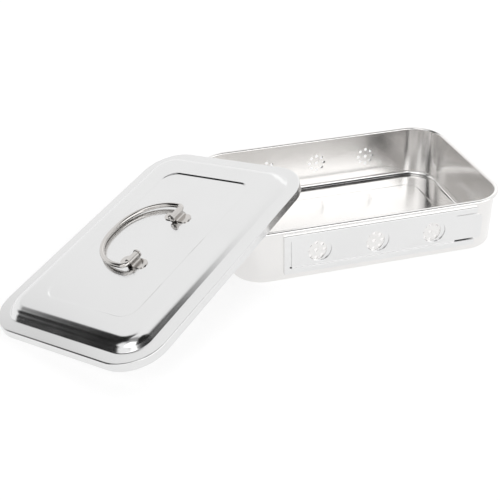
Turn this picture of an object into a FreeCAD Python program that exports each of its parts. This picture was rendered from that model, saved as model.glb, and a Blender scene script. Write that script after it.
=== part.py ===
import FreeCAD, Part
import Sketcher
import math
import os
import sys

# Covered instrument tray in drawn stainless sheet, millimetres.
# Frame: origin at the middle of the tray's underside, +Z up, +X along the tray,
# -Y towards the front wall.  The lid is off and leans on the tray's left end.

doc = FreeCAD.newDocument("instrument_tray")
sheet = doc.addObject("Spreadsheet::Sheet", "Sizes")

SIZES = (
    ("tray_length", 240.0),        # over the rim
    ("tray_width", 160.0),
    ("tray_height", 50.0),
    ("rim_radius", 30.5),          # plan radius of the rim's corners
    ("metal", 0.8),                # sheet gauge of the drawn pieces
    ("rim_overhang", 2.9),         # rim edge to the wall's outer face
    ("rim_bead", 3.2),             # height of the rolled edge
    ("bead_round", 1.5),
    ("wall_draft", 1.0),           # how far the wall leans in from rim to floor
    ("floor_round", 5.0),
    ("panel_inset", 26.0),         # inner wall to the raised floor panel
    ("panel_rise", 0.6),
    ("panel_corner", 14.0),
    ("vent_pitch", 50.0),          # the three groups of holes in each long wall
    ("vent_height", 26.3),
    ("petal_ring", 14.4),
    ("petal_hole", 3.0),
    ("centre_hole", 3.2),
    ("holder_length", 168.0),
    ("holder_height", 36.3),
    ("holder_shift", 6.5),         # its middle, towards the open end
    ("holder_metal", 0.7),
    ("holder_lip", 5.2),
    ("holder_end_lip", 4.5),
    ("backing_hole", 18.5),
    ("plate_metal", 0.8),
    ("plate_play", 0.15),          # each face of the plate to its channel
    ("plate_edge_play", 0.35),
    ("plate_end_gap", 2.8),        # to the closed end, fully open
    ("plate_length", 143.5),
    ("plate_hole", 20.0),
    ("plate_shift", 3.0),          # the plate as it stands, past fully open
    ("tab_height", 23.2),
    ("tab_length", 16.0),
    ("tab_bend", 7.0),
    ("tab_angle", 24.0),
    ("lid_clearance", 0.7),        # rim to the inside of the lid's skirt
    ("skirt_height", 7.2),
    ("skirt_round", 1.0),
    ("flange_width", 10.6),
    ("dome_rise", 6.6),
    ("dome_draft", 5.6),
    ("dome_round", 12.0),
    ("dome_foot_round", 1.2),
    ("recess_inset_x", 25.4),      # dome foot to the sunk panel
    ("recess_inset_y", 24.4),
    ("recess_corner", 14.0),
    ("recess_depth", 0.8),
    ("rod", 4.0),
    ("rod_fit", 0.1),              # radial, rod in its lugs
    ("rod_bend", 4.5),
    ("grip_half_width", 39.5),
    ("grip_reach", 44.3),
    ("grip_corner", 36.0),
    ("rod_head", 7.0),
    ("rod_head_thickness", 1.3),
    ("grip_rest_gap", 0.3),
    ("hinge_height", 4.2),
    ("hinge_offset", 5.5),         # the lid's middle to the hinge line
    ("lug_metal", 0.8),
    ("lug_width", 10.6),
    ("lug_side_play", 0.4),
    ("lug_foot", 24.6),
    ("lug_foot_corner", 4.6),
    ("lug_inner_end", 24.2),       # middle of the lid to a lug's inner end
    ("lean_out", 56.4),            # tray end to the leaning lid's middle
    ("lean_front", 48.2),          # tray middle to the lid's middle, towards -Y
    ("lean_turn", 42.7),           # degrees about +Z
    ("lean_gap", 0.65),            # kept under the lid where it touches
)

SIZE = {}
for row, (name, value) in enumerate(SIZES, start=1):
    sheet.set("A%d" % row, name)
    sheet.set("B%d" % row, str(value))
    sheet.setAlias("B%d" % row, name)
    SIZE[name] = value
doc.recompute()


def ref(text):
    """An expression in the sheet's names: every known word gets its prefix."""
    out = ""
    word = ""
    for ch in text + " ":
        if ch.isalnum() or ch == "_":
            word += ch
            continue
        out += ("Sizes." + word) if word in SIZE else word
        word = ""
        out += ch
    return out.strip()


def val(text):
    """The same expression as a number, for a sketch's first shape."""
    probe = doc.getObject("Probe") or doc.addObject("App::FeaturePython", "Probe")
    if "Number" not in probe.PropertiesList:
        probe.addProperty("App::PropertyFloat", "Number")
    probe.setExpression("Number", ref(text))
    probe.recompute()
    return float(probe.Number)


def new_body(name):
    body = doc.addObject("PartDesign::Body", name)
    body.Label = name
    return body


def plane(body, role):
    for feature in body.Origin.OriginFeatures:
        if feature.Role == role:
            return feature
    raise RuntimeError("no plane " + role)


def sketch_on(body, name, role, height=None):
    sk = body.newObject("Sketcher::SketchObject", name)
    sk.AttachmentSupport = [(plane(body, role), "")]
    sk.MapMode = "FlatFace"
    if height is not None:
        sk.setExpression("AttachmentOffset.Base.z", ref(height))
    return sk


def vec(x, y):
    return FreeCAD.Vector(x, y, 0)


def drive(sk, constraint, expression):
    """Adds a constraint and binds it to the sheet."""
    index = sk.addConstraint(constraint)
    sk.setExpression("Constraints[%d]" % index, ref(expression))
    return index


def rounded_rect(sk, half_x, half_y, corner):
    """A centred rectangle with round corners, fully driven by the sheet."""
    a = val(half_x)
    b = val(half_y)
    r = val(corner)
    corners = ((a - r, -b + r, -90), (a - r, b - r, 0), (-a + r, b - r, 90), (-a + r, -b + r, 180))
    lines = []
    arcs = []
    ends = ((-a + r, -b, a - r, -b), (a, -b + r, a, b - r), (a - r, b, -a + r, b), (-a, b - r, -a, -b + r))
    for x0, y0, x1, y1 in ends:
        lines.append(sk.addGeometry(Part.LineSegment(vec(x0, y0), vec(x1, y1))))
    for cx, cy, start in corners:
        circle = Part.Circle(vec(cx, cy), FreeCAD.Vector(0, 0, 1), r)
        arcs.append(sk.addGeometry(Part.ArcOfCircle(circle, math.radians(start), math.radians(start + 90))))
    for k in range(4):
        sk.addConstraint(Sketcher.Constraint("Tangent", lines[k], 2, arcs[k], 1))
        sk.addConstraint(Sketcher.Constraint("Tangent", arcs[k], 2, lines[(k + 1) % 4], 1))
    sk.addConstraint(Sketcher.Constraint("Horizontal", lines[0]))
    sk.addConstraint(Sketcher.Constraint("Vertical", lines[1]))
    sk.addConstraint(Sketcher.Constraint("Horizontal", lines[2]))
    sk.addConstraint(Sketcher.Constraint("Vertical", lines[3]))
    for k in range(1, 4):
        sk.addConstraint(Sketcher.Constraint("Equal", arcs[0], arcs[k]))
    drive(sk, Sketcher.Constraint("Radius", arcs[0], r), corner)
    drive(sk, Sketcher.Constraint("DistanceX", -1, 1, lines[1], 1, a), half_x)
    drive(sk, Sketcher.Constraint("DistanceX", lines[3], 1, -1, 1, a), half_x)
    drive(sk, Sketcher.Constraint("DistanceY", -1, 1, lines[2], 1, b), half_y)
    drive(sk, Sketcher.Constraint("DistanceY", lines[0], 1, -1, 1, b), half_y)


def circle_at(sk, x, y, diameter):
    """One circle whose centre and size follow the sheet."""
    cx = val(x)
    cy = val(y)
    c = sk.addGeometry(Part.Circle(vec(cx, cy), FreeCAD.Vector(0, 0, 1), val(diameter) / 2))
    drive(sk, Sketcher.Constraint("Diameter", c, val(diameter)), diameter)
    for kind, value, text in (("DistanceX", cx, x), ("DistanceY", cy, y)):
        if abs(value) < 1e-9:
            axis = -2 if kind == "DistanceX" else -1
            sk.addConstraint(Sketcher.Constraint("PointOnObject", c, 3, axis))
        elif value > 0:
            drive(sk, Sketcher.Constraint(kind, -1, 1, c, 3, value), text)
        else:
            drive(sk, Sketcher.Constraint(kind, c, 3, -1, 1, -value), "-(" + text + ")")


def polygon(sk, points):
    """A closed outline of straight edges; each corner is an (x, y) pair of expressions."""
    numbers = [(val(x), val(y)) for x, y in points]
    count = len(points)
    lines = []
    for k in range(count):
        a = numbers[k]
        b = numbers[(k + 1) % count]
        lines.append(sk.addGeometry(Part.LineSegment(vec(*a), vec(*b))))
    for k in range(count):
        sk.addConstraint(Sketcher.Constraint("Coincident", lines[k], 2, lines[(k + 1) % count], 1))
    for k in range(count):
        across = ("DistanceX", numbers[k][0], points[k][0])
        upright = ("DistanceY", numbers[k][1], points[k][1])
        for kind, value, text in (across, upright):
            if abs(value) < 1e-9:
                axis = -2 if kind == "DistanceX" else -1
                sk.addConstraint(Sketcher.Constraint("PointOnObject", lines[k], 1, axis))
            elif value > 0:
                drive(sk, Sketcher.Constraint(kind, -1, 1, lines[k], 1, value), text)
            else:
                drive(sk, Sketcher.Constraint(kind, lines[k], 1, -1, 1, -value), "-(" + text + ")")


def pad(body, name, sk, length, reverse=False, middle=False):
    p = body.newObject("PartDesign::Pad", name)
    p.Profile = sk
    p.setExpression("Length", ref(length))
    p.Reversed = reverse
    p.Midplane = middle
    grown(body, name, 1)
    return p


def pocket(body, name, sk, length=None, reverse=False, middle=False):
    p = body.newObject("PartDesign::Pocket", name)
    p.Profile = sk
    if length is None:
        p.Type = 1
    else:
        p.setExpression("Length", ref(length))
    p.Reversed = reverse
    p.Midplane = middle
    grown(body, name, -1)
    return p


VOLUME = {}


def grown(body, name, sign):
    """Recomputes and checks that a feature really added or removed material."""
    doc.recompute()
    before = VOLUME.get(body.Name, 0.0)
    after = body.Shape.Volume
    if sign * (after - before) <= 1e-6:
        raise RuntimeError("%s in %s changed the volume from %.2f to %.2f" % (name, body.Name, before, after))
    VOLUME[body.Name] = after


def fillet(body, name, radius, test):
    """Rounds the edges of the body's tip that pass the test."""
    base = body.Tip
    names = []
    for number, edge in enumerate(base.Shape.Edges, start=1):
        if test(edge):
            names.append("Edge%d" % number)
    if not names:
        raise RuntimeError("no edges for " + name)
    f = body.newObject("PartDesign::Fillet", name)
    f.Base = (base, names)
    f.setExpression("Radius", ref(radius))
    doc.recompute()
    VOLUME[body.Name] = body.Shape.Volume
    return f


def level(z, tolerance=0.02):
    """Edges that lie flat at one height."""
    def test(edge):
        box = edge.BoundBox
        return abs(box.ZMin - z) < tolerance and abs(box.ZMax - z) < tolerance
    return test


def reach(edge):
    """How far an edge goes from the Z axis along X and along Y."""
    box = edge.BoundBox
    return max(abs(box.XMin), abs(box.XMax)), max(abs(box.YMin), abs(box.YMax))


def level_outside(z, half_x, half_y):
    """Flat edges at one height that reach outside a centred rectangle."""
    flat = level(z)

    def test(edge):
        far_x, far_y = reach(edge)
        return flat(edge) and (far_x > half_x or far_y > half_y)
    return test


def level_inside(z, half_x, half_y):
    """Flat edges at one height that stay inside a centred rectangle."""
    flat = level(z)

    def test(edge):
        far_x, far_y = reach(edge)
        return flat(edge) and far_x < half_x and far_y < half_y
    return test


# --- tray -----------------------------------------------------------------

tray = new_body("tray_body")
WALL_TOP_X = "tray_length / 2 - rim_overhang"
WALL_TOP_Y = "tray_width / 2 - rim_overhang"
WALL_TOP_R = "rim_radius - rim_overhang"
WALL_LOW_X = WALL_TOP_X + " - wall_draft"
WALL_LOW_Y = WALL_TOP_Y + " - wall_draft"
WALL_LOW_R = WALL_TOP_R + " - wall_draft"

low = sketch_on(tray, "PanFloor", "XY_Plane")
rounded_rect(low, WALL_LOW_X, WALL_LOW_Y, WALL_LOW_R)
pan = pad(tray, "Pan", low, "tray_height")
pan.setExpression("TaperAngle", ref("atan(wall_draft / tray_height)"))
grown(tray, "Draft", 1)

rim = sketch_on(tray, "RimOutline", "XY_Plane", "tray_height - rim_bead")
rounded_rect(rim, "tray_length / 2", "tray_width / 2", "rim_radius")
pad(tray, "Rim", rim, "rim_bead")

inner_low = sketch_on(tray, "HollowFloor", "XY_Plane", "metal")
rounded_rect(inner_low, WALL_LOW_X + " - metal", WALL_LOW_Y + " - metal", WALL_LOW_R + " - metal")
hollow = pocket(tray, "Hollow", inner_low, "tray_height - metal", reverse=True)
hollow.setExpression("TaperAngle", ref("atan(wall_draft / tray_height)"))
grown(tray, "HollowDraft", -1)
edge_x = val(WALL_TOP_X)
edge_y = val(WALL_TOP_Y)
top_z = SIZE["tray_height"]
fillet(tray, "InsideFloorRound", "floor_round - metal", level(SIZE["metal"]))
fillet(tray, "RimInsideRound", "metal", level_inside(top_z, edge_x, edge_y))
fillet(tray, "BeadTop", "bead_round", level_outside(top_z, edge_x, edge_y))
fillet(tray, "BeadUnder", "bead_round", level_outside(top_z - SIZE["rim_bead"], edge_x + 0.2, edge_y + 0.2))
fillet(tray, "FloorRound", "floor_round", level(0))

PANEL_X = WALL_LOW_X + " - metal - panel_inset"
PANEL_Y = WALL_LOW_Y + " - metal - panel_inset"
panel = sketch_on(tray, "PanelTop", "XY_Plane", "metal / 2")
rounded_rect(panel, PANEL_X, PANEL_Y, "panel_corner")
pad(tray, "Panel", panel, "metal / 2 + panel_rise")
fillet(tray, "PanelRound", "panel_rise / 2", level(SIZE["metal"] + SIZE["panel_rise"]))
under = sketch_on(tray, "PanelUnder", "XY_Plane")
rounded_rect(under, PANEL_X + " - metal / 2", PANEL_Y + " - metal / 2", "panel_corner - metal / 2")
pocket(tray, "PanelHollow", under, "panel_rise", reverse=True)

vents = sketch_on(tray, "Vents", "XZ_Plane")
PETALS = 8
for group in (-1, 0, 1):
    middle = "%d * vent_pitch" % group
    circle_at(vents, middle, "vent_height", "centre_hole")
    for k in range(PETALS):
        turn = "%g deg" % (360.0 / PETALS * k)
        x = "%s + petal_ring / 2 * cos(%s)" % (middle, turn)
        y = "vent_height + petal_ring / 2 * sin(%s)" % turn
        circle_at(vents, x, y, "petal_hole")
pocket(tray, "VentHoles", vents, middle=True)

# --- shutter holders and shutters ------------------------------------------

# Both are drawn flat: X along the slide, Z up the wall, -Y outwards, with the
# origin on the wall's outer face at the middle of the tray's length.
CHANNEL = "(plate_metal + 2 * plate_play)"
DEPTH = "(2 * holder_metal + " + CHANNEL + ")"


def box(name, x, y, z, size_x, size_y, size_z):
    b = doc.addObject("Part::Box", name)
    for prop, text in (("Length", size_x), ("Width", size_y), ("Height", size_z)):
        b.setExpression(prop, ref(text))
    for axis, text in (("x", x), ("y", y), ("z", z)):
        b.setExpression("Placement.Base." + axis, ref(text))
    return b


def round_cut(name, x, diameter):
    """A drill along Y at the height of the vents."""
    c = doc.addObject("Part::Cylinder", name)
    c.setExpression("Radius", ref("(" + diameter + ") / 2"))
    c.setExpression("Height", ref("4 * " + DEPTH))
    c.Placement = FreeCAD.Placement(FreeCAD.Vector(0, 0, 0), FreeCAD.Rotation(FreeCAD.Vector(1, 0, 0), 90))
    c.setExpression("Placement.Base.x", ref(x))
    c.setExpression("Placement.Base.y", ref("2 * " + DEPTH))
    return c


HOLDER_X = "(holder_shift - holder_length / 2)"
EDGE_Z = "(holder_height / 2)"


def make_holder(name):
    skin = box(name + "_skin", HOLDER_X, "-" + DEPTH, "-" + EDGE_Z, "holder_length", DEPTH, "holder_height")
    channel = box(name + "_channel", HOLDER_X + " + holder_metal", "-" + DEPTH + " + holder_metal",
                  "-" + EDGE_Z + " + holder_metal", "holder_length", CHANNEL,
                  "holder_height - 2 * holder_metal")
    window = box(name + "_window", HOLDER_X + " + holder_end_lip", "-" + DEPTH + " - holder_metal",
                 "-" + EDGE_Z + " + holder_lip", "holder_length", "2 * holder_metal",
                 "holder_height - 2 * holder_lip")
    tools = [channel, window]
    for k in (-1, 0, 1):
        tools.append(round_cut("%s_hole_%d" % (name, k + 1), "%d * vent_pitch" % k, "backing_hole"))
    fuse = doc.addObject("Part::MultiFuse", name + "_tools")
    fuse.Shapes = tools
    soft = doc.addObject("Part::Fillet", name + "_folds")
    soft.Base = skin
    doc.recompute()
    folds = []
    for number, edge in enumerate(skin.Shape.Edges, start=1):
        bb = edge.BoundBox
        outer = abs(bb.YMax - skin.Shape.BoundBox.YMin) < 1e-6
        at_left = abs(bb.XMax - skin.Shape.BoundBox.XMin) < 1e-6
        if outer and (bb.XLength > 1 or at_left):
            folds.append((number, SIZE["holder_metal"], SIZE["holder_metal"]))
    soft.Edges = folds
    cut = doc.addObject("Part::Cut", name)
    cut.Base = soft
    cut.Tool = fuse
    cut.Label = name
    doc.recompute()
    return cut


PLATE_LEFT = "(" + HOLDER_X + " + holder_metal + plate_end_gap)"
PLATE_RIGHT = "(" + PLATE_LEFT + " + plate_length)"


def make_shutter(name):
    """Sliding plate with three round holes and a narrower, bent finger tab."""
    body = new_body(name)
    half = "(holder_height / 2 - holder_metal - plate_edge_play)"
    tab = "(tab_height / 2)"
    face = "(holder_metal + plate_play)"
    end = "(" + PLATE_RIGHT + " + tab_length)"
    outline = sketch_on(body, name + "_outline", "XZ_Plane", face)
    polygon(outline, (
        (PLATE_LEFT, "-" + half), (PLATE_RIGHT, "-" + half), (PLATE_RIGHT, "-" + tab),
        (end, "-" + tab), (end, tab), (PLATE_RIGHT, tab), (PLATE_RIGHT, half), (PLATE_LEFT, half)))
    pad(body, name + "_plate", outline, "plate_metal")
    holes = sketch_on(body, name + "_holes", "XZ_Plane")
    for k in (-1, 0, 1):
        circle_at(holes, "%d * vent_pitch" % k, "0 * vent_pitch", "plate_hole")
    pocket(body, name + "_windows", holes, middle=True)
    bend = sketch_on(body, name + "_bend", "XY_Plane", "-" + tab)
    run = "tab_bend * cos(tab_angle * 1 deg)"
    rise = "tab_bend * sin(tab_angle * 1 deg)"
    slip_x = "plate_metal * sin(tab_angle * 1 deg)"
    slip_y = "plate_metal * cos(tab_angle * 1 deg)"
    polygon(bend, (
        (end, "-" + face), (end + " + " + run, "-" + face + " - " + rise),
        (end + " + " + run + " - " + slip_x, "-" + face + " - " + rise + " - " + slip_y),
        (end + " - " + slip_x, "-" + face + " - " + slip_y),
        (end + " - plate_metal", "-" + face + " - plate_metal"),
        (end + " - plate_metal", "-" + face)))
    pad(body, name + "_tab", bend, "tab_height")
    tip_x = val(end) + 3

    def tip(edge):
        box = edge.BoundBox
        return box.XMin > tip_x and box.ZLength < 0.01 and box.XLength < 1.5

    fillet(body, name + "_tip_round", "tab_bend / 2", tip)
    return body


front_holder = make_holder("front_shutter_holder")
rear_holder = make_holder("rear_shutter_holder")
front_shutter = make_shutter("front_shutter")
rear_shutter = make_shutter("rear_shutter")

# --- lid -------------------------------------------------------------------

lid = new_body("lid_shell")
LID_X = "(tray_length / 2 + lid_clearance + metal)"
LID_Y = "(tray_width / 2 + lid_clearance + metal)"
LID_R = "(rim_radius + lid_clearance + metal)"
DOME_X = LID_X + " - flange_width"
DOME_Y = LID_Y + " - flange_width"
DOME_R = LID_R + " - flange_width"
DOME_TOP = "(skirt_height + dome_rise)"
DOME_SLOPE = "atan(dome_draft / dome_rise)"
RECESS_X = DOME_X + " - recess_inset_x"
RECESS_Y = DOME_Y + " - recess_inset_y"

skirt = sketch_on(lid, "Skirt", "XY_Plane")
rounded_rect(skirt, LID_X, LID_Y, LID_R)
pad(lid, "SkirtBlock", skirt, "skirt_height")
dome = sketch_on(lid, "DomeFoot", "XY_Plane", "skirt_height")
rounded_rect(dome, DOME_X, DOME_Y, DOME_R)
dome_pad = pad(lid, "Dome", dome, "dome_rise")
dome_pad.setExpression("TaperAngle", ref("-" + DOME_SLOPE))
grown(lid, "DomeSlope", -1)
skirt_hollow = sketch_on(lid, "SkirtHollowOutline", "XY_Plane")
rounded_rect(skirt_hollow, LID_X + " - metal", LID_Y + " - metal", LID_R + " - metal")
pocket(lid, "SkirtHollow", skirt_hollow, "skirt_height - metal", reverse=True)
dome_hollow = sketch_on(lid, "DomeHollowOutline", "XY_Plane", "skirt_height - metal")
rounded_rect(dome_hollow, DOME_X + " - metal / 2", DOME_Y + " - metal / 2", DOME_R + " - metal / 2")
dome_cut = pocket(lid, "DomeHollow", dome_hollow, "dome_rise", reverse=True)
dome_cut.setExpression("TaperAngle", ref("-" + DOME_SLOPE))
grown(lid, "DomeHollowSlope", 1)
hollow_z = val("skirt_height - metal + dome_rise")
fillet(lid, "DomeHollowRound", "dome_round - metal", level_inside(hollow_z, val(DOME_X), val(DOME_Y)))
plate = sketch_on(lid, "SunkPanelOutline", "XY_Plane", DOME_TOP + " - recess_depth - metal")
rounded_rect(plate, RECESS_X + " + metal", RECESS_Y + " + metal", "recess_corner + metal")
pad(lid, "SunkPanel", plate, "metal + recess_depth / 2")
recess = sketch_on(lid, "RecessOutline", "XY_Plane", DOME_TOP)
rounded_rect(recess, RECESS_X, RECESS_Y, "recess_corner")
pocket(lid, "Recess", recess, "recess_depth")
dome_z = val(DOME_TOP)
skirt_z = SIZE["skirt_height"]
recess_x = val(RECESS_X) + 0.2
recess_y = val(RECESS_Y) + 0.2
foot_x = val(DOME_X) + 0.2
foot_y = val(DOME_Y) + 0.2
fillet(lid, "DomeFootRound", "dome_foot_round", level_inside(skirt_z, foot_x, foot_y))
fillet(lid, "DomeTopRound", "dome_round", level_outside(dome_z, recess_x, recess_y))
fillet(lid, "SkirtRound", "skirt_round", level_outside(skirt_z, foot_x + 3, foot_y + 3))

# --- handle and its lugs ------------------------------------------------------

ROD_END = "(lug_inner_end - lug_side_play - rod_head_thickness)"


def make_lug(name):
    """Strap bent over the rod, with a foot each side; drawn about the middle of its width."""
    body = new_body(name)
    bore = "(rod / 2 + rod_fit)"
    outer = "(rod / 2 + rod_fit + lug_metal)"
    foot = sketch_on(body, name + "_foot_outline", "YZ_Plane")
    polygon(foot, (("-lug_foot / 2", "0 * rod"), ("lug_foot / 2", "0 * rod"),
                   ("lug_foot / 2", "lug_metal"), ("-lug_foot / 2", "lug_metal")))
    pad(body, name + "_foot", foot, "lug_width", middle=True)
    foot_y = SIZE["lug_foot"] / 2 - 0.1

    def foot_corner(edge):
        box = edge.BoundBox
        return box.ZLength > 0.1 and box.XLength < 0.01 and max(abs(box.YMin), abs(box.YMax)) > foot_y

    fillet(body, name + "_foot_corners", "lug_foot_corner", foot_corner)
    strap = sketch_on(body, name + "_strap_outline", "YZ_Plane")
    polygon(strap, (("-" + outer, "lug_metal / 2"), (outer, "lug_metal / 2"),
                    (outer, "hinge_height"), ("-" + outer, "hinge_height")))
    pad(body, name + "_strap", strap, "lug_width", middle=True)
    crown = sketch_on(body, name + "_crown_outline", "YZ_Plane")
    circle_at(crown, "0 * rod", "hinge_height", "2 * " + outer)
    pad(body, name + "_crown", crown, "lug_width", middle=True)
    slot = sketch_on(body, name + "_slot_outline", "YZ_Plane")
    polygon(slot, (("-" + bore, "0 * rod"), (bore, "0 * rod"),
                   (bore, "hinge_height"), ("-" + bore, "hinge_height")))
    pocket(body, name + "_slot", slot, middle=True)
    round_top = sketch_on(body, name + "_bore_outline", "YZ_Plane")
    circle_at(round_top, "0 * rod", "hinge_height", "2 * " + bore)
    pocket(body, name + "_bore", round_top, middle=True)
    return body


left_lug = make_lug("handle_lug_left")
right_lug = make_lug("handle_lug_right")


def grip_path(sk):
    """Centre line of the rod: in through the lugs at both ends, an arch between."""
    a = SIZE["grip_half_width"]
    e = SIZE["grip_reach"]
    c = SIZE["grip_corner"]
    b = SIZE["rod_bend"]
    n = val(ROD_END)
    up = FreeCAD.Vector(0, 0, 1)

    def line(x0, y0, x1, y1):
        return sk.addGeometry(Part.LineSegment(vec(x0, y0), vec(x1, y1)))

    def arc(x, y, r, start, end):
        circle = Part.Circle(vec(x, y), up, r)
        return sk.addGeometry(Part.ArcOfCircle(circle, math.radians(start), math.radians(end)))

    end_left = line(-n, 0, -a + b, 0)
    bend_left = arc(-a + b, b, b, 180, 270)
    leg_left = line(-a, b, -a, e - c)
    arch_left = arc(-a + c, e - c, c, 90, 180)
    crown = line(-a + c, e, a - c, e)
    arch_right = arc(a - c, e - c, c, 0, 90)
    leg_right = line(a, e - c, a, b)
    bend_right = arc(a - b, b, b, 270, 360)
    end_right = line(a - b, 0, n, 0)
    joints = ((end_left, 2, bend_left, 2), (bend_left, 1, leg_left, 1), (leg_left, 2, arch_left, 2),
              (arch_left, 1, crown, 1), (crown, 2, arch_right, 2), (arch_right, 1, leg_right, 1),
              (leg_right, 2, bend_right, 2), (bend_right, 1, end_right, 1))
    for joint in joints:
        sk.addConstraint(Sketcher.Constraint("Tangent", *joint))
    for flat in (end_left, crown, end_right):
        sk.addConstraint(Sketcher.Constraint("Horizontal", flat))
    for upright in (leg_left, leg_right):
        sk.addConstraint(Sketcher.Constraint("Vertical", upright))
    sk.addConstraint(Sketcher.Constraint("PointOnObject", end_left, 1, -1))
    sk.addConstraint(Sketcher.Constraint("PointOnObject", end_right, 2, -1))
    drive(sk, Sketcher.Constraint("DistanceX", end_left, 1, -1, 1, n), ROD_END)
    drive(sk, Sketcher.Constraint("DistanceX", -1, 1, end_right, 2, n), ROD_END)
    drive(sk, Sketcher.Constraint("DistanceX", leg_left, 1, -1, 1, a), "grip_half_width")
    drive(sk, Sketcher.Constraint("DistanceX", -1, 1, leg_right, 1, a), "grip_half_width")
    drive(sk, Sketcher.Constraint("DistanceY", -1, 1, crown, 1, e), "grip_reach")
    for bend in (bend_left, bend_right):
        drive(sk, Sketcher.Constraint("Radius", bend, b), "rod_bend")
    for arch in (arch_left, arch_right):
        drive(sk, Sketcher.Constraint("Radius", arch, c), "grip_corner")


handle = new_body("lid_handle")
path = sketch_on(handle, "GripPath", "XY_Plane")
grip_path(path)
section = sketch_on(handle, "RodSection", "YZ_Plane", "-" + ROD_END)
circle_at(section, "0 * rod", "0 * rod", "rod")
doc.recompute()
rod = handle.newObject("PartDesign::AdditivePipe", "Rod")
rod.Profile = section
rod.Spine = (path, ["Edge%d" % (k + 1) for k in range(9)])
grown(handle, "Rod", 1)
for side, name in ((-1, "LeftHead"), (1, "RightHead")):
    head = sketch_on(handle, name + "Outline", "YZ_Plane", ("" if side > 0 else "-") + ROD_END)
    circle_at(head, "0 * rod", "0 * rod", "rod_head")
    pad(handle, name, head, "rod_head_thickness", reverse=side < 0)

# --- where the pieces stand ----------------------------------------------------

Z_AXIS = FreeCAD.Vector(0, 0, 1)
X_AXIS = FreeCAD.Vector(1, 0, 0)
lean_of_wall = math.degrees(math.atan(SIZE["wall_draft"] / SIZE["tray_height"]))
share = SIZE["vent_height"] / SIZE["tray_height"]
wall_y = SIZE["tray_width"] / 2 - SIZE["rim_overhang"] - SIZE["wall_draft"] * (1 - share)
tilt = FreeCAD.Rotation(X_AXIS, lean_of_wall)
front_wall = FreeCAD.Placement(FreeCAD.Vector(0, -wall_y, SIZE["vent_height"]), tilt)
rear_wall = FreeCAD.Placement(FreeCAD.Vector(0, 0, 0), FreeCAD.Rotation(Z_AXIS, 180)).multiply(front_wall)
slid = FreeCAD.Placement(FreeCAD.Vector(SIZE["plate_shift"], 0, 0), FreeCAD.Rotation())
front_holder.Placement = front_wall
rear_holder.Placement = rear_wall
front_shutter.Placement = front_wall.multiply(slid)
rear_shutter.Placement = rear_wall.multiply(slid)


def outline_points(half_x, half_y, corner, steps=24, spacing=3.0):
    """Points round a centred rectangle with round corners, anticlockwise."""
    points = []
    for cx, cy, start in ((1, 1, 0), (-1, 1, 90), (-1, -1, 180), (1, -1, 270)):
        for k in range(steps + 1):
            a = math.radians(start + 90.0 * k / steps)
            points.append((cx * (half_x - corner) + corner * math.cos(a),
                           cy * (half_y - corner) + corner * math.sin(a)))
    dense = []
    for k, (x0, y0) in enumerate(points):
        x1, y1 = points[(k + 1) % len(points)]
        parts = max(int(math.hypot(x1 - x0, y1 - y0) / spacing), 1)
        for j in range(parts):
            dense.append((x0 + (x1 - x0) * j / parts, y0 + (y1 - y0) * j / parts))
    return dense


def outside(x, y, half_x, half_y, corner):
    """Signed distance from the same outline, positive outside."""
    dx = abs(x) - (half_x - corner)
    dy = abs(y) - (half_y - corner)
    if dx > 0 and dy > 0:
        return math.hypot(dx, dy) - corner
    return max(dx, dy) - corner


def leaning_lid():
    """Lid on three points: its low corner on the ground, its skirt on the rim twice."""
    half_x = val(LID_X)
    half_y = val(LID_Y)
    corner = val(LID_R)
    crown = SIZE["rim_overhang"] / 2
    rim_points = outline_points(SIZE["tray_length"] / 2 - crown, SIZE["tray_width"] / 2 - crown,
                                SIZE["rim_radius"] - crown, 48, 1.0)
    edge_points = outline_points(half_x, half_y, corner)
    rest_z = SIZE["tray_height"] + SIZE["lean_gap"]
    middle = FreeCAD.Vector(-SIZE["tray_length"] / 2 - SIZE["lean_out"], -SIZE["lean_front"],
                            SIZE["tray_height"] / 2)
    normal = FreeCAD.Vector(-0.2, 0.0, 1.0)
    turn = math.radians(SIZE["lean_turn"])
    heading = FreeCAD.Vector(math.cos(turn), math.sin(turn), 0)
    for _ in range(60):
        normal.normalize()
        u = FreeCAD.Vector(heading.x, heading.y, -(heading.x * normal.x + heading.y * normal.y) / normal.z)
        u.normalize()
        v = normal.cross(u)
        low = min((middle + u * x + v * y for x, y in edge_points), key=lambda p: p.z)
        low = FreeCAD.Vector(low.x, low.y, 0)
        touch = {}
        last = None
        for x, y in rim_points + rim_points[:1]:
            # the rim point seen from above, in the lid's own plane
            lift = middle.z - (normal.x * (x - middle.x) + normal.y * (y - middle.y)) / normal.z
            away = FreeCAD.Vector(x, y, lift) - middle
            here = (outside(away.dot(u), away.dot(v), half_x, half_y, corner), away.dot(u), away.dot(v), x, y)
            if last and here[0] * last[0] < 0:
                f = last[0] / (last[0] - here[0])
                spot = [last[k] + (here[k] - last[k]) * f for k in range(5)]
                side = "long" if spot[2] < 0 else "short"
                touch[side] = FreeCAD.Vector(spot[3], spot[4], rest_z)
            last = here
        plane_normal = (touch["long"] - low).cross(touch["short"] - low)
        if plane_normal.z < 0:
            plane_normal = plane_normal * -1
        plane_normal.normalize()
        along_x = plane_normal.x * (middle.x - low.x)
        along_y = plane_normal.y * (middle.y - low.y)
        middle.z = low.z - (along_x + along_y) / plane_normal.z
        normal = plane_normal
    u = FreeCAD.Vector(heading.x, heading.y, -(heading.x * normal.x + heading.y * normal.y) / normal.z)
    u.normalize()
    v = normal.cross(u)
    frame = FreeCAD.Matrix(u.x, v.x, normal.x, middle.x, u.y, v.y, normal.y, middle.y,
                           u.z, v.z, normal.z, middle.z)
    return FreeCAD.Placement(frame)


def moved(base, x, y, z, angle=0.0):
    """A placement in the lid's own frame, turned about its X axis."""
    return base.multiply(FreeCAD.Placement(FreeCAD.Vector(x, y, z), FreeCAD.Rotation(X_AXIS, angle)))


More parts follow.
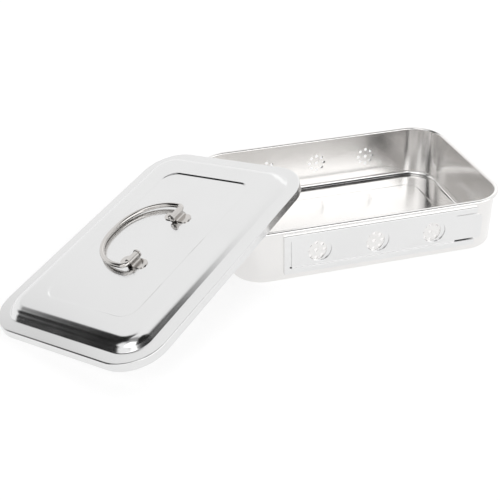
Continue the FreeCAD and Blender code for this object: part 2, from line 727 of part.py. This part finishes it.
lid_place = leaning_lid()
panel_z = val(DOME_TOP) - SIZE["recess_depth"]
lug_x = SIZE["lug_inner_end"] + SIZE["lug_width"] / 2
arch_reach = SIZE["grip_reach"] + SIZE["rod"] / 2 - SIZE["hinge_offset"]
rest_step = SIZE["recess_depth"] if arch_reach > val(RECESS_Y) else 0.0  # past the sunk panel's edge
drop = SIZE["hinge_height"] - SIZE["rod"] / 2 - SIZE["grip_rest_gap"] - rest_step
droop = math.degrees(math.asin(drop / SIZE["grip_reach"]))
lid.Placement = lid_place
left_lug.Placement = moved(lid_place, -lug_x, -SIZE["hinge_offset"], panel_z)
right_lug.Placement = moved(lid_place, lug_x, -SIZE["hinge_offset"], panel_z)
handle.Placement = moved(lid_place, 0, -SIZE["hinge_offset"], panel_z + SIZE["hinge_height"], -droop)

# --- checks and export -----------------------------------------------------------

doc.recompute()
NODES = (tray, front_holder, front_shutter, rear_holder, rear_shutter, lid, left_lug, right_lug, handle)
for obj in doc.Objects:
    bad = [word for word in obj.State if word in ("Invalid", "Error")]
    if bad:
        raise RuntimeError("%s is %s" % (obj.Name, ", ".join(bad)))
for node in NODES:
    if node.Shape.isNull() or not node.Shape.isValid() or len(node.Shape.Solids) != 1:
        raise RuntimeError(node.Label + " has no single valid solid")

os.makedirs("parts", exist_ok=True)
for node in NODES:
    node.Shape.exportStep(os.path.join("parts", node.Label + ".step"))
    box = node.Shape.BoundBox
    print("%-22s volume %9.1f  x %.1f..%.1f  y %.1f..%.1f  z %.1f..%.1f" % (
        node.Label, node.Shape.Volume, box.XMin, box.XMax, box.YMin, box.YMax, box.ZMin, box.ZMax))
sys.stdout.flush()
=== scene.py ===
import math

import bpy
from mathutils import Matrix, Vector


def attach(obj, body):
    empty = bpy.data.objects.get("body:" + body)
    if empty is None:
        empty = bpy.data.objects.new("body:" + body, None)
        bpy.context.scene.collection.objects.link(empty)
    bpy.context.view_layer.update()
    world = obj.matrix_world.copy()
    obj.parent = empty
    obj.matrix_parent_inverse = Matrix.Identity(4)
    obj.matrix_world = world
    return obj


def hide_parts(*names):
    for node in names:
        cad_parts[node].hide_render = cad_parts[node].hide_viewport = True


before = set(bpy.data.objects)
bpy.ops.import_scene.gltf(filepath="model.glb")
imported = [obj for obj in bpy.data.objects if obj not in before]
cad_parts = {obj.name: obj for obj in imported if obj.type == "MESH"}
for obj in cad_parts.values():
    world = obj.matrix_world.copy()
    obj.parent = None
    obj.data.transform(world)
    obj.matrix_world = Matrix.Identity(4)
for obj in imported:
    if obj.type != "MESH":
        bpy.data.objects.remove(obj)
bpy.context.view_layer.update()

MM = 0.001

# --- sizes, in millimetres ------------------------------------------------------

TRAY_LENGTH = 240.0
TRAY_WIDTH = 160.0
TRAY_HEIGHT = 50.0
SHEET = 0.8                # steel of the tray and the lid
CORNER_STEPS = 24          # straight steps in each round corner of a pressing
RIM_CORNER = 30.5
BEAD = 1.6                 # radius of the rolled rim
BEAD_WIDTH = 3.7
BEAD_LIP = 2.3             # how far the rim curls back under itself
WALL_DRAFT = 1.0
FLOOR_ROUND = 4.2
FLOOR_PANEL = (94.0, 54.0, 14.0)
FLOOR_PANEL_RISE = 0.6
FLOOR_PANEL_STEP = (0.4, 1.8, 2.7)  # where its soft step starts, how wide it is, where the flat begins
FLOOR_MARGIN = 0.5         # flat left beyond the round at the wall's foot
FLAT = 0.4                 # short flat kept beside a round
VENT_PITCH = 50.0
VENT_HEIGHT = 26.3
PETAL_RING = 7.2
PETALS = 8
PETAL_HOLE = 1.5           # radii of the vent holes
CENTRE_HOLE = 1.6
PUNCH_INSET = 3.5          # the punch's middle, in from the rim
PUNCH_LENGTH = 6.0

LID_HALF = (121.5, 81.5)
LID_CORNER = 32.0
SKIRT = 7.2
SKIRT_ROUND = 1.0
FLANGE = 10.6
DOME_RISE = 6.6
DOME_RUN = 5.6
DOME_FOOT = 1.2
DOME_SHOULDER = 12.0
LID_PANEL = (85.5, 46.5, 14.0)
LID_PANEL_DEPTH = 0.8
LID_PANEL_TOP = SKIRT + DOME_RISE - LID_PANEL_DEPTH
LID_PANEL_STEP = (0.3, 1.6, 2.4)
LID_MARGIN = 0.6           # flat left beyond the dome's shoulder
SKIRT_FLAT = 0.3

ROD = 2.0                  # radius of the handle's rod
GRIP_HALF = 39.5
GRIP_REACH = 44.3
GRIP_ARCH = 36.0
ROD_BEND = 4.5
ROD_END = 22.5
HEAD = 3.5
HEAD_THICK = 1.3
HEAD_DISH = ((0.35, 0.3), (0.6, 0.08), (0.7, -0.5), (0.5, -0.25))  # insets and steps of its face
HINGE_HEIGHT = 4.2
HINGE_OFFSET = -5.5
LUG_MIDDLE = 29.5
LUG_WIDTH = 10.6
LUG_FOOT = 12.3
LUG_FOOT_CORNER = 4.6
LUG_OUTER = 2.9
LUG_BEND = 1.0             # radius where a foot turns up
LUG_FLAT = 0.2
GRIP_DROOP = 2.458         # degrees the handle slopes down from its hinge

LID_CENTRE = (-176.4, -48.2, 31.445)
LID_TURN = 42.7            # degrees about Z, then pitch about Y and roll about X
LID_PITCH = -11.4907
LID_ROLL = -7.2454

SLACK = 1.0                # how much too far an edge may lie and still be picked
NEAR = 0.001               # points closer than this are one point


# --- modelling by hand -------------------------------------------------------------

def only(obj):
    """Object mode, with one object selected and active."""
    if bpy.context.object and bpy.context.object.mode != "OBJECT":
        bpy.ops.object.mode_set(mode="OBJECT")
    bpy.ops.object.select_all(action="DESELECT")
    obj.hide_set(False)
    obj.select_set(True)
    bpy.context.view_layer.objects.active = obj


def edit(obj, kind="VERT", all_selected=False):
    only(obj)
    bpy.ops.object.mode_set(mode="EDIT")
    bpy.ops.mesh.select_mode(type=kind)
    bpy.ops.mesh.select_all(action="SELECT" if all_selected else "DESELECT")


def done():
    bpy.ops.object.mode_set(mode="OBJECT")


def clear_selection(obj, kind):
    edit(obj, kind)
    done()


def apply_place(obj):
    only(obj)
    bpy.ops.object.transform_apply(location=True, rotation=True, scale=True)


def apply_modifier(obj, name):
    only(obj)
    bpy.ops.object.modifier_apply(modifier=name)


def round_corners(radius, steps):
    """Rounds the selected corner points of a flat sheet."""
    bpy.ops.mesh.bevel(offset_type="OFFSET", offset=radius * MM, segments=steps,
                       profile=0.5, affect="VERTICES")


def rounded_plate(name, half_x, half_y, corner, height):
    """A flat plate with round corners, as one face that looks up, selected in edit mode."""
    bpy.ops.object.select_all(action="DESELECT")
    bpy.ops.mesh.primitive_plane_add(size=2.0, location=(0.0, 0.0, height * MM))
    plate = bpy.context.object
    plate.name = name
    plate.scale = (half_x * MM, half_y * MM, 1.0)
    apply_place(plate)
    edit(plate, "VERT", True)
    round_corners(corner, CORNER_STEPS)
    bpy.ops.mesh.select_mode(type="FACE")
    bpy.ops.mesh.select_all(action="SELECT")
    return plate


def follow(points):
    """Insets the selected face along a profile of (distance in from the edge, height)."""
    for (in0, z0), (in1, z1) in zip(points, points[1:]):
        bpy.ops.mesh.inset(thickness=(in1 - in0) * MM, depth=(z1 - z0) * MM, use_even_offset=True)


def arc(centre_in, centre_z, radius, start, end, steps):
    """Profile points on an arc; angles in degrees, 0 pointing inwards and 90 up."""
    points = []
    for k in range(steps + 1):
        a = math.radians(start + (end - start) * k / steps)
        points.append((centre_in + radius * math.cos(a), centre_z + radius * math.sin(a)))
    return points


def soft_step(start_in, start_z, width, rise, steps=8):
    """Profile points of a pressed step with soft edges."""
    points = []
    for k in range(steps + 1):
        t = k / steps
        points.append((start_in + width * t, start_z + rise * t * t * (3 - 2 * t)))
    return points


def join(pieces, name):
    only(pieces[0])
    for piece in pieces:
        piece.select_set(True)
    bpy.context.view_layer.objects.active = pieces[0]
    bpy.ops.object.join()
    pieces[0].name = name
    return pieces[0]


def weld(obj, distance=0.01):
    edit(obj, "VERT", True)
    bpy.ops.mesh.remove_doubles(threshold=distance * MM)
    bpy.ops.mesh.normals_make_consistent(inside=False)
    done()


def face_up(obj):
    """Turns the whole sheet over if its largest face looks down."""
    largest = max(obj.data.polygons, key=lambda face: face.area)
    if largest.normal.z < 0:
        edit(obj, "FACE", True)
        bpy.ops.mesh.flip_normals()
        done()


def thicken(obj, sheet=SHEET):
    solid = obj.modifiers.new("Sheet", "SOLIDIFY")
    solid.thickness = sheet * MM
    solid.offset = -1.0
    solid.use_even_offset = True
    solid.use_quality_normals = True
    apply_modifier(obj, "Sheet")


def smooth(obj, angle=28.0):
    only(obj)
    bpy.ops.object.shade_smooth_by_angle(angle=math.radians(angle))


def open_edges(obj, test):
    """Selects the open edges whose middles pass a test."""
    uses = {}
    for face in obj.data.polygons:
        for key in face.edge_keys:
            uses[key] = uses.get(key, 0) + 1
    for edge in obj.data.edges:
        middle = (obj.data.vertices[edge.vertices[0]].co + obj.data.vertices[edge.vertices[1]].co) / 2
        edge.select = uses.get(edge.key, 0) == 1 and test(middle)


def bridge_panel(shell, panel, name, reach):
    """Bridges the shell's inner open edge to the panel's outer one.

    reach is a half length and a half width that take in both edges and nothing further out."""
    both = join([shell, panel], name)
    clear_selection(both, "EDGE")
    open_edges(both, lambda p: abs(p.x) < reach[0] * MM and abs(p.y) < reach[1] * MM)
    bpy.ops.object.mode_set(mode="EDIT")
    bpy.ops.mesh.bridge_edge_loops()
    done()
    return both


# --- tray -----------------------------------------------------------------------------

def build_tray():
    half_x = TRAY_LENGTH / 2
    half_y = TRAY_WIDTH / 2
    crown = TRAY_HEIGHT - BEAD

    def wall(z):
        return BEAD_WIDTH + WALL_DRAFT * (TRAY_HEIGHT - z) / TRAY_HEIGHT

    over = arc(BEAD, crown, BEAD, 180, 90, 8)
    inside = arc(BEAD_WIDTH - BEAD, crown, BEAD, 90, 0, 8)
    foot_z = SHEET + FLOOR_ROUND
    foot = arc(wall(foot_z) + FLOOR_ROUND, foot_z, FLOOR_ROUND, 180, 270, 10)
    walls = [(wall(z), z) for z in (crown - FLAT, foot_z + FLAT)]
    shell = rounded_plate("tray_pan", half_x, half_y, RIM_CORNER, crown)
    end = foot[-1][0] + FLOOR_MARGIN
    follow(over + inside[1:] + walls + foot + [(end, SHEET)])
    bpy.ops.mesh.delete(type="ONLY_FACE")
    done()
    panel = rounded_plate("tray_panel", *FLOOR_PANEL, SHEET)
    start, width, flat = FLOOR_PANEL_STEP
    follow([(0.0, SHEET)] + soft_step(start, SHEET, width, FLOOR_PANEL_RISE)
           + [(flat, SHEET + FLOOR_PANEL_RISE)])
    done()
    pan = bridge_panel(shell, panel, "tray_pan", (half_x - end + SLACK, half_y - end + SLACK))
    curl = rounded_plate("tray_curl", half_x, half_y, RIM_CORNER, crown)
    follow(arc(BEAD, crown, BEAD, 180, 270, 8) + [(BEAD_LIP, crown - BEAD)])
    bpy.ops.mesh.delete(type="ONLY_FACE")
    done()
    tray = join([pan, curl], "tray_pan")
    weld(tray)
    face_up(tray)
    thicken(tray)
    punch = flower_punch()
    cut = tray.modifiers.new("Vents", "BOOLEAN")
    cut.operation = "DIFFERENCE"
    cut.solver = "EXACT"
    cut.object = punch
    apply_modifier(tray, "Vents")
    bpy.data.objects.remove(punch)
    smooth(tray)
    return tray


def flower_punch():
    """Round punches for the flowers of vent holes in both long walls."""
    punches = []
    for side in (-1, 1):
        for column in (-1, 0, 1):
            spots = [(0.0, 0.0, CENTRE_HOLE)]
            for k in range(PETALS):
                a = math.radians(360.0 * k / PETALS)
                spots.append((PETAL_RING * math.cos(a), PETAL_RING * math.sin(a), PETAL_HOLE))
            for x, z, radius in spots:
                place = Vector((column * VENT_PITCH + x, side * (TRAY_WIDTH / 2 - PUNCH_INSET),
                                VENT_HEIGHT + z)) * MM
                bpy.ops.mesh.primitive_cylinder_add(
                    vertices=20, radius=radius * MM, depth=PUNCH_LENGTH * MM,
                    location=place, rotation=(math.pi / 2, 0, 0))
                punches.append(bpy.context.object)
    punch = join(punches, "flower_punch")
    apply_place(punch)
    return punch


# --- lid ------------------------------------------------------------------------------

def lid_place():
    turn = (Matrix.Rotation(math.radians(LID_TURN), 4, "Z")
            @ Matrix.Rotation(math.radians(LID_PITCH), 4, "Y")
            @ Matrix.Rotation(math.radians(LID_ROLL), 4, "X"))
    return Matrix.Translation(Vector(LID_CENTRE) * MM) @ turn


def stand(obj, place):
    """Puts a piece drawn about the origin where it belongs, with its place in its mesh."""
    obj.matrix_world = place @ obj.matrix_world
    apply_place(obj)


def build_lid():
    half_x, half_y = LID_HALF
    slope = math.degrees(math.atan2(DOME_RISE, DOME_RUN))
    foot_reach = DOME_FOOT * math.tan(math.radians(slope / 2))
    shoulder_reach = DOME_SHOULDER * math.tan(math.radians(slope / 2))
    top = SKIRT + DOME_RISE
    edge = arc(SKIRT_ROUND, SKIRT - SKIRT_ROUND, SKIRT_ROUND, 180, 90, 8)
    foot = arc(FLANGE - foot_reach, SKIRT + DOME_FOOT, DOME_FOOT, 270, 270 + slope, 6)
    shoulder = arc(FLANGE + DOME_RUN + shoulder_reach, top - DOME_SHOULDER, DOME_SHOULDER,
                   90 + slope, 90, 14)
    end = shoulder[-1][0] + LID_MARGIN
    shell = rounded_plate("lid_dome", half_x, half_y, LID_CORNER, 0.0)
    follow([(0.0, 0.0), (0.0, SKIRT - SKIRT_ROUND - SKIRT_FLAT)] + edge
           + [(SKIRT_ROUND + FLAT, SKIRT), (FLANGE - foot_reach - FLAT, SKIRT)]
           + foot + shoulder + [(end, top)])
    bpy.ops.mesh.delete(type="ONLY_FACE")
    done()
    panel = rounded_plate("lid_panel", *LID_PANEL, top)
    start, width, flat = LID_PANEL_STEP
    follow([(0.0, top)] + soft_step(start, top, width, -LID_PANEL_DEPTH) + [(flat, LID_PANEL_TOP)])
    done()
    lid = bridge_panel(shell, panel, "lid_dome", (half_x - end + SLACK, half_y - end + SLACK))
    weld(lid)
    face_up(lid)
    thicken(lid)
    smooth(lid)
    stand(lid, lid_place())
    return lid


def build_lug(name, middle):
    """A strap bent over the rod, with a foot each side, spot welded to the lid."""
    bend_at = LUG_OUTER + LUG_BEND
    path = [(-bend_at - LUG_FLAT, SHEET)]
    path += arc(-bend_at, SHEET + LUG_BEND, LUG_BEND, 270, 360, 5)
    path += arc(0.0, HINGE_HEIGHT, LUG_OUTER, 180, 0, 24)
    path += arc(bend_at, SHEET + LUG_BEND, LUG_BEND, 180, 270, 5)
    path += [(bend_at + LUG_FLAT, SHEET), (LUG_FOOT, SHEET)]
    foot_end = path[0][0]

    bpy.ops.object.select_all(action="DESELECT")
    bpy.ops.mesh.primitive_plane_add(size=1.0)
    lug = bpy.context.object
    lug.name = name
    lug.scale = (LUG_WIDTH * MM, (foot_end + LUG_FOOT) * MM, 1.0)
    lug.location = (0.0, (foot_end - LUG_FOOT) / 2 * MM, SHEET * MM)
    apply_place(lug)

    clear_selection(lug, "EDGE")
    for edge in lug.data.edges:
        edge.select = all(lug.data.vertices[v].co.y > (foot_end - NEAR) * MM for v in edge.vertices)
    bpy.ops.object.mode_set(mode="EDIT")
    for (y0, z0), (y1, z1) in zip(path, path[1:]):
        bpy.ops.mesh.extrude_region_move(
            TRANSFORM_OT_translate={"value": (0.0, (y1 - y0) * MM, (z1 - z0) * MM)})
    done()

    clear_selection(lug, "VERT")
    for point in lug.data.vertices:
        point.select = abs(point.co.y) > (LUG_FOOT - LUG_FLAT) * MM
    bpy.ops.object.mode_set(mode="EDIT")
    round_corners(LUG_FOOT_CORNER, 8)
    done()
    weld(lug, NEAR)
    face_up(lug)
    thicken(lug)
    smooth(lug)
    stand(lug, lid_place() @ Matrix.Translation(Vector((middle, HINGE_OFFSET, LID_PANEL_TOP)) * MM))
    return lug


def build_grip():
    """The bent rod, with a peened head inside each lug."""
    arch_x = GRIP_HALF - GRIP_ARCH
    leg_end = GRIP_REACH - GRIP_ARCH
    bend_x = GRIP_HALF - ROD_BEND
    pin = bend_x - ROD_END - HEAD_THICK
    bpy.ops.object.select_all(action="DESELECT")
    bpy.ops.mesh.primitive_circle_add(vertices=28, radius=ROD * MM, rotation=(0, math.pi / 2, 0),
                                      location=((ROD_END + HEAD_THICK) * MM, 0, 0))
    grip = bpy.context.object
    grip.name = "grip_rod"
    apply_place(grip)
    edit(grip, "EDGE", True)

    def run(x, y):
        bpy.ops.mesh.extrude_region_move(TRANSFORM_OT_translate={"value": (x * MM, y * MM, 0.0)})

    def bend(x, y, steps):
        """A quarter turn to the left about a centre; the spin tool counts angles the other way."""
        bpy.ops.mesh.spin(steps=steps, angle=math.radians(-90), center=(x * MM, y * MM, 0.0),
                          axis=(0, 0, 1))

    run(pin, 0.0)
    bend(bend_x, ROD_BEND, 10)
    run(0.0, leg_end - ROD_BEND)
    bend(arch_x, leg_end, 36)
    run(-2 * arch_x, 0.0)
    bend(-arch_x, leg_end, 36)
    run(0.0, ROD_BEND - leg_end)
    bend(-bend_x, ROD_BEND, 10)
    run(pin, 0.0)
    done()
    heads = []
    for side in (-1, 1):
        bpy.ops.object.select_all(action="DESELECT")
        bpy.ops.mesh.primitive_cylinder_add(
            vertices=36, radius=HEAD * MM, depth=HEAD_THICK * MM, rotation=(0, math.pi / 2, 0),
            location=(side * (ROD_END + HEAD_THICK / 2) * MM, 0, 0))
        head = bpy.context.object
        apply_place(head)
        clear_selection(head, "FACE")
        for face in head.data.polygons:
            face.select = face.normal.x * side < -0.9
        bpy.ops.object.mode_set(mode="EDIT")
        for inset, step in HEAD_DISH:
            bpy.ops.mesh.inset(thickness=inset * MM, depth=step * MM)
        done()
        heads.append(head)
    grip = join([grip] + heads, "grip_rod")
    weld(grip, NEAR)
    smooth(grip, 32.0)
    hinge = Vector((0.0, HINGE_OFFSET, LID_PANEL_TOP + HINGE_HEIGHT)) * MM
    droop = Matrix.Rotation(math.radians(-GRIP_DROOP), 4, "X")
    stand(grip, lid_place() @ Matrix.Translation(hinge) @ droop)
    return grip


# --- finishes ----------------------------------------------------------------------------

CLOUD_SIZE = 22.0          # noise scales: cloudy polish, then fine grain
GRAIN_SIZE = 900.0
GRAIN_HEIGHT = 0.02        # millimetres
CLOUD_SHADE = 0.97         # how dark the clouds are against the rest


def steel(name, colour, rough, rough_spread, grain, wave, wave_size, stretch=(1.0, 1.0, 1.0)):
    """Stainless steel: cloudy roughness, fine grain and the slow waves of pressed sheet."""
    made = bpy.data.materials.new(name)
    made.use_nodes = True
    tree = made.node_tree
    nodes = tree.nodes
    links = tree.links
    shader = nodes["Principled BSDF"]
    shader.inputs["Metallic"].default_value = 1.0
    place = nodes.new("ShaderNodeTexCoord")
    along = nodes.new("ShaderNodeMapping")
    along.inputs["Scale"].default_value = stretch
    links.new(place.outputs["Object"], along.inputs["Vector"])

    def noise(where, size, detail):
        node = nodes.new("ShaderNodeTexNoise")
        node.inputs["Scale"].default_value = size
        node.inputs["Detail"].default_value = detail
        links.new(where, node.inputs["Vector"])
        return node.outputs["Fac"]

    def bump(height, strength, distance):
        node = nodes.new("ShaderNodeBump")
        node.inputs["Strength"].default_value = strength
        node.inputs["Distance"].default_value = distance * MM
        links.new(height, node.inputs["Height"])
        return node

    clouds = noise(place.outputs["Object"], CLOUD_SIZE, 5.0)
    dull = nodes.new("ShaderNodeMapRange")
    dull.inputs["To Min"].default_value = rough
    dull.inputs["To Max"].default_value = rough + rough_spread
    dull.inputs["From Min"].default_value = 0.35
    dull.inputs["From Max"].default_value = 0.7
    links.new(clouds, dull.inputs["Value"])
    links.new(dull.outputs["Result"], shader.inputs["Roughness"])

    tint = nodes.new("ShaderNodeValToRGB")
    tint.color_ramp.elements[0].position = 0.3
    tint.color_ramp.elements[0].color = [c * CLOUD_SHADE for c in colour] + [1.0]
    tint.color_ramp.elements[1].position = 0.7
    tint.color_ramp.elements[1].color = list(colour) + [1.0]
    links.new(clouds, tint.inputs["Fac"])
    links.new(tint.outputs["Color"], shader.inputs["Base Color"])

    slow = bump(noise(place.outputs["Object"], wave_size, 0.0), 1.0, wave)
    fine = bump(noise(along.outputs["Vector"], GRAIN_SIZE, 3.0), grain, GRAIN_HEIGHT)
    links.new(slow.outputs["Normal"], fine.inputs["Normal"])
    links.new(fine.outputs["Normal"], shader.inputs["Normal"])
    return made


def finish(obj, made):
    obj.data.materials.clear()
    obj.data.materials.append(made)


TRAY_STEEL = steel("tray_steel", (0.83, 0.82, 0.81), rough=0.15, rough_spread=0.07, grain=0.25,
                   wave=0.35, wave_size=14.0, stretch=(1.0, 1.0, 0.08))
LID_STEEL = steel("lid_steel", (0.79, 0.79, 0.79), rough=0.15, rough_spread=0.05, grain=0.10,
                  wave=0.25, wave_size=9.0)
PLATE_STEEL = steel("plate_steel", (0.80, 0.80, 0.80), rough=0.14, rough_spread=0.06, grain=0.20,
                    wave=0.10, wave_size=20.0, stretch=(0.08, 1.0, 1.0))
ROD_STEEL = steel("rod_steel", (0.62, 0.60, 0.58), rough=0.12, rough_spread=0.06, grain=0.15,
                  wave=0.02, wave_size=60.0)

tray = build_tray()
lid = build_lid()
lugs = [build_lug("lug_left", -LUG_MIDDLE), build_lug("lug_right", LUG_MIDDLE)]
grip = build_grip()

for piece, body, node, slot, made in (
        (tray, "base", "tray_body", "tray_steel", TRAY_STEEL),
        (lid, "lid", "lid_shell", "lid_steel", LID_STEEL),
        (lugs[0], "lid", "handle_lug_left", "rod_steel", ROD_STEEL),
        (lugs[1], "lid", "handle_lug_right", "rod_steel", ROD_STEEL),
        (grip, "handle", "lid_handle", "rod_steel", ROD_STEEL)):
    finish(piece, made)
    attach(piece, body)
    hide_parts(node)

for node in ("front_shutter_holder", "front_shutter", "rear_shutter_holder", "rear_shutter"):
    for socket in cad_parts[node].material_slots:
        socket.material = PLATE_STEEL


# --- floor, light and camera ----------------------------------------------------------------

WALLS = (1.03, 1.03, 1.03)
DARK = (0.012, 0.012, 0.012)
GREY = (0.35, 0.35, 0.35)
WARM_GREY = (0.42, 0.41, 0.40)
BRIGHT = (1.9, 1.9, 1.9)
PALE = (1.25, 1.25, 1.25)

# soft patches on the walls: west, east, low, high and the softness of the edge, in degrees,
# then the light that each gives; a later one lies over those before it
PATCHES = (
    ((-172.0, -142.0, 14.0, 36.0, 5.0), WARM_GREY),
    ((-190.0, -60.0, 54.0, 85.0, 5.0), GREY),
    ((-172.0, -118.0, 34.0, 64.0, 4.0), BRIGHT),
    ((-104.0, -72.0, -30.0, 27.0, 4.0), DARK),
    ((-90.0, -54.0, 20.0, 66.0, 4.0), DARK),
    ((-72.0, -24.0, 34.0, 66.0, 4.0), DARK),
    ((102.5, 190.0, 41.0, 84.0, 3.0), DARK),
    ((-190.0, -166.0, 41.0, 84.0, 4.0), DARK),
    ((112.0, 190.0, 2.0, 37.0, 4.0), BRIGHT),
    ((-190.0, -176.0, 2.0, 37.0, 4.0), BRIGHT),
    ((12.0, 60.0, 12.0, 36.0, 6.0), PALE),
)

FLOOR_SIZE = 9.0           # metres
FLOOR_GREY = 0.42
FLOOR_GLOW = 0.70

AIM = (-84.0, 13.35, 0.0)  # the point on the floor that the camera looks at
CAMERA_BEARING = 13.24
CAMERA_HEIGHT = 30.36
CAMERA_ROLL = -1.97
CAMERA_DISTANCE = 802.1
LENS = 63.7128
FILM = 36.0


def build_floor():
    bpy.ops.object.select_all(action="DESELECT")
    bpy.ops.mesh.primitive_plane_add(size=FLOOR_SIZE, location=(0, 0, 0))
    floor = bpy.context.object
    floor.name = "floor"
    made = bpy.data.materials.new("pale_floor")
    made.use_nodes = True
    shader = made.node_tree.nodes["Principled BSDF"]
    shader.inputs["Base Color"].default_value = (FLOOR_GREY, FLOOR_GREY, FLOOR_GREY, 1.0)
    shader.inputs["Roughness"].default_value = 0.9
    shader.inputs["Specular IOR Level"].default_value = 0.0
    shader.inputs["Emission Color"].default_value = (1.0, 1.0, 1.0, 1.0)
    shader.inputs["Emission Strength"].default_value = FLOOR_GLOW
    finish(floor, made)


def build_room():
    """A pale studio with soft dark and bright patches on its walls.

    Bearings are in degrees from +Y, positive towards +X; heights are in degrees over the floor."""
    room = bpy.data.worlds.new("studio")
    bpy.context.scene.world = room
    room.use_nodes = True
    tree = room.node_tree
    nodes = tree.nodes
    links = tree.links
    look = nodes.new("ShaderNodeTexCoord")
    split = nodes.new("ShaderNodeSeparateXYZ")
    links.new(look.outputs["Generated"], split.inputs["Vector"])

    def angle(operation, first, second=None):
        node = nodes.new("ShaderNodeMath")
        node.operation = operation
        links.new(first, node.inputs[0])
        if second is not None:
            links.new(second, node.inputs[1])
        wide = nodes.new("ShaderNodeMath")
        wide.operation = "MULTIPLY"
        wide.inputs[1].default_value = 180.0 / math.pi
        links.new(node.outputs["Value"], wide.inputs[0])
        return wide.outputs["Value"]

    bearing = angle("ARCTAN2", split.outputs["X"], split.outputs["Y"])
    height = angle("ARCSINE", split.outputs["Z"])

    def ramp(value, start, end):
        node = nodes.new("ShaderNodeMapRange")
        node.interpolation_type = "SMOOTHSTEP"
        node.inputs["From Min"].default_value = start
        node.inputs["From Max"].default_value = end
        links.new(value, node.inputs["Value"])
        return node.outputs["Result"]

    def multiply(first, second):
        node = nodes.new("ShaderNodeMath")
        node.operation = "MULTIPLY"
        links.new(first, node.inputs[0])
        links.new(second, node.inputs[1])
        return node.outputs["Value"]

    def patch(west, east, low, high, soft):
        """1 inside a span of bearings and heights, with soft edges."""
        across = multiply(ramp(bearing, west - soft, west + soft),
                          ramp(bearing, east + soft, east - soft))
        upright = multiply(ramp(height, low - soft, low + soft),
                           ramp(height, high + soft, high - soft))
        return multiply(across, upright)

    walls = nodes.new("ShaderNodeRGB")
    walls.outputs["Color"].default_value = WALLS + (1.0,)
    colour = walls.outputs["Color"]
    for span, shade in PATCHES:
        mix = nodes.new("ShaderNodeMix")
        mix.data_type = "RGBA"
        mix.inputs["B"].default_value = shade + (1.0,)
        links.new(colour, mix.inputs["A"])
        links.new(patch(*span), mix.inputs["Factor"])
        colour = mix.outputs["Result"]
    links.new(colour, nodes["Background"].inputs["Color"])


def build_camera():
    bearing = math.radians(CAMERA_BEARING)
    height = math.radians(CAMERA_HEIGHT)
    roll = math.radians(CAMERA_ROLL)
    ahead = Vector((math.sin(bearing) * math.cos(height), math.cos(bearing) * math.cos(height),
                    -math.sin(height)))
    right = ahead.cross(Vector((0, 0, 1))).normalized()
    up = right.cross(ahead)
    side = right * math.cos(roll) + up * math.sin(roll)
    top = up * math.cos(roll) - right * math.sin(roll)
    data = bpy.data.cameras.new("camera")
    data.sensor_width = FILM
    data.lens = LENS
    data.shift_x = 0.0014
    data.shift_y = -0.039
    data.clip_start = 0.05
    data.clip_end = 20.0
    camera = bpy.data.objects.new("camera", data)
    bpy.context.scene.collection.objects.link(camera)
    turn = Matrix((side, top, -ahead)).transposed().to_4x4()
    camera.matrix_world = Matrix.Translation((Vector(AIM) - ahead * CAMERA_DISTANCE) * MM) @ turn
    bpy.context.scene.camera = camera


build_floor()
build_room()
build_camera()

scene = bpy.context.scene
scene.view_settings.view_transform = "Standard"
scene.cycles.use_denoising = True
scene.cycles.max_bounces = 14
scene.cycles.glossy_bounces = 10
